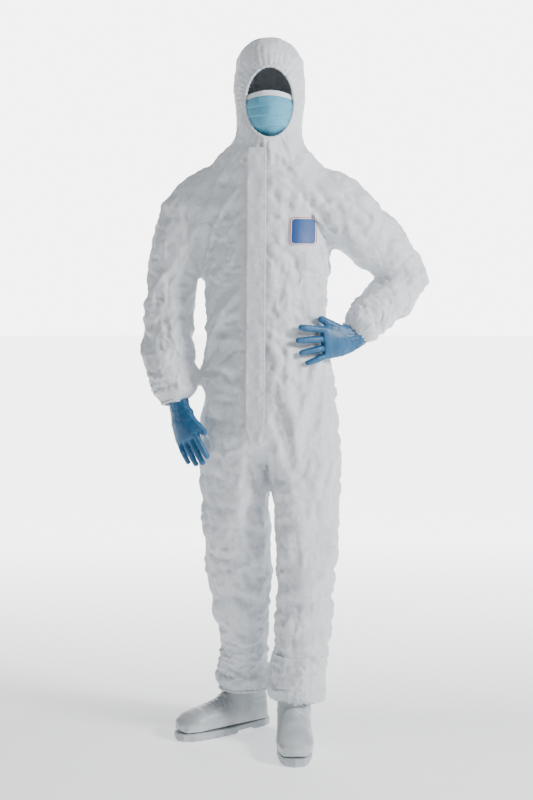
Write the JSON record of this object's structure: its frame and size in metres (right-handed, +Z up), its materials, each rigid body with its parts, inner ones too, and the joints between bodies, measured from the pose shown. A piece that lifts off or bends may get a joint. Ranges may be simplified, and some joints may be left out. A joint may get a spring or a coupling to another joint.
{
  "type": "chemical protective suit",
  "caption": "Hooded white protective coverall standing as worn, with zip and storm flap, elasticated cuffs, face mask, gloves and safety boots, all jointed.",
  "frame": {"origin": "on the floor, in the middle of the footprint box of the whole set", "axes": "+Z up, -Y out of the chest, +X to the wearer's left"},
  "size_m": [0.7568, 0.3908, 1.8705],
  "materials": {
    "suit_fabric": "flash-spun nonwoven film, semi-matt",
    "elastic": "covered elastic, matt",
    "zip_tape": "woven tape, matt",
    "zip_metal": "coated white, satin",
    "adhesive_tape": "release film, gloss",
    "badge": "printed patch, satin",
    "mask_fabric": "pleated nonwoven, matt",
    "nitrile": "dipped nitrile, satin",
    "boot_rubber": "injected PVC, satin",
    "sole_rubber": "injected PVC, matt",
    "insole": "felt, matt"
  },
  "bodies": {
    "shin_left": {"ankle_elastic_left": "elastic", "boot_insole_left": "insole", "boot_outsole_left": "sole_rubber", "boot_upper_left": "boot_rubber", "trouser_shin_left": "suit_fabric"},
    "shin_right": {"ankle_elastic_right": "elastic", "boot_insole_right": "insole", "boot_outsole_right": "sole_rubber", "boot_upper_right": "boot_rubber", "trouser_shin_right": "suit_fabric"},
    "torso": {"back_panel": "suit_fabric", "badge_patch": "badge", "front_panel_left": "suit_fabric", "front_panel_right": "suit_fabric", "hip_section_left": "suit_fabric", "hip_section_right": "suit_fabric", "neck_section": "suit_fabric", "seat_panel": "suit_fabric", "shoulder_section_left": "suit_fabric", "shoulder_section_right": "suit_fabric", "trunk_front_left": "suit_fabric", "trunk_front_right": "suit_fabric", "waist_elastic": "elastic", "zip_bottom_stop": "zip_metal", "zip_tape_left": "zip_tape", "zip_tape_right": "zip_tape", "zip_top_stop": "zip_metal"},
    "forearm_left": {"cuff_elastic_left": "elastic", "lower_sleeve_left": "suit_fabric"},
    "forearm_right": {"cuff_elastic_right": "elastic", "lower_sleeve_right": "suit_fabric"},
    "upper_arm_left": {"elbow_section_left": "suit_fabric", "upper_sleeve_left": "suit_fabric"},
    "upper_arm_right": {"elbow_section_right": "suit_fabric", "upper_sleeve_right": "suit_fabric"},
    "hood": {"face_elastic": "elastic", "hood_centre_panel": "suit_fabric", "hood_side_panel_left": "suit_fabric", "hood_side_panel_right": "suit_fabric", "mask_body": "mask_fabric", "mask_ear_loop_left": "elastic", "mask_ear_loop_right": "elastic", "mask_nose_wire": "elastic"},
    "storm_flap": {"flap_adhesive_tape": "adhesive_tape", "zip_flap": "suit_fabric"},
    "hand_left": {"glove_left": "nitrile"},
    "hand_right": {"glove_right": "nitrile"},
    "thigh_left": {"knee_section_left": "suit_fabric", "trouser_thigh_left": "suit_fabric"},
    "thigh_right": {"knee_section_right": "suit_fabric", "trouser_thigh_right": "suit_fabric"},
    "zip_pull": {"zip_pull_tab": "zip_metal"},
    "zip_slider_body": {"zip_slider": "zip_metal"}
  },
  "joints": [
    {"name": "slider_travel", "type": "slide", "parent": "torso", "child": "zip_slider_body", "axis": [0, -0.0349, -0.9994], "range_m": [0, 0.6]},
    {"name": "pull_swing", "type": "hinge", "parent": "zip_slider_body", "child": "zip_pull", "pos_m": [-0.04755, -0.1086, 1.51211], "axis": [-1, 0, 0], "range_deg": [0, 15]},
    {"name": "flap_open", "type": "hinge", "parent": "torso", "child": "storm_flap", "pos_m": [-0.02205, -0.13975, 0.83837], "axis": [0, 0.0349, 0.9994], "range_deg": [0, 140]},
    {"name": "hood_tilt", "type": "hinge", "parent": "torso", "child": "hood", "pos_m": [-0.03955, -0.00326, 1.625], "axis": [-0.9781, -0.2079, 0], "range_deg": [-15, 25], "deforming": ["neck_section"]},
    {"name": "shoulder_raise_right", "type": "hinge", "parent": "torso", "child": "upper_arm_right", "pos_m": [-0.22555, 0.00674, 1.475], "axis": [0, 1, 0], "range_deg": [0, 60], "deforming": ["shoulder_section_right"]},
    {"name": "shoulder_raise_left", "type": "hinge", "parent": "torso", "child": "upper_arm_left", "pos_m": [0.13045, 0.01274, 1.475], "axis": [0, -1, 0], "range_deg": [0, 50], "deforming": ["shoulder_section_left"]},
    {"name": "elbow_bend_right", "type": "hinge", "parent": "upper_arm_right", "child": "forearm_right", "pos_m": [-0.30655, -0.01426, 1.16], "axis": [-1, 0, 0], "range_deg": [0, 75], "deforming": ["elbow_section_right"]},
    {"name": "elbow_bend_left", "type": "hinge", "parent": "upper_arm_left", "child": "forearm_left", "pos_m": [0.31045, 0.08274, 1.262], "axis": [0.3933, -0.9186, 0.038], "range_deg": [0, 60], "deforming": ["elbow_section_left"]},
    {"name": "wrist_bend_right", "type": "hinge", "parent": "forearm_right", "child": "hand_right", "pos_m": [-0.26855, -0.06626, 0.921], "axis": [0.6909, -0.6758, 0.2569], "range_deg": [-25, 12]},
    {"name": "wrist_bend_left", "type": "hinge", "parent": "forearm_left", "child": "hand_left", "pos_m": [0.18945, 0.00074, 1.104], "axis": [-0.6077, -0.4118, 0.6791], "range_deg": [0, 8]},
    {"name": "hip_swing_right", "type": "hinge", "parent": "torso", "child": "thigh_right", "pos_m": [-0.13505, 0.01074, 0.93], "axis": [-1, 0, 0], "range_deg": [-20, 30], "deforming": ["hip_section_right"]},
    {"name": "hip_swing_left", "type": "hinge", "parent": "torso", "child": "thigh_left", "pos_m": [0.05595, 0.01074, 0.93], "axis": [-1, 0, 0], "range_deg": [-20, 45], "deforming": ["hip_section_left"]},
    {"name": "knee_bend_right", "type": "hinge", "parent": "thigh_right", "child": "shin_right", "pos_m": [-0.12455, 0.05174, 0.5], "axis": [1, 0, 0], "range_deg": [0, 60], "deforming": ["knee_section_right"]},
    {"name": "knee_bend_left", "type": "hinge", "parent": "thigh_left", "child": "shin_left", "pos_m": [0.05745, 0.00474, 0.5], "axis": [1, 0, 0], "range_deg": [0, 60], "deforming": ["knee_section_left"]}
  ]
}
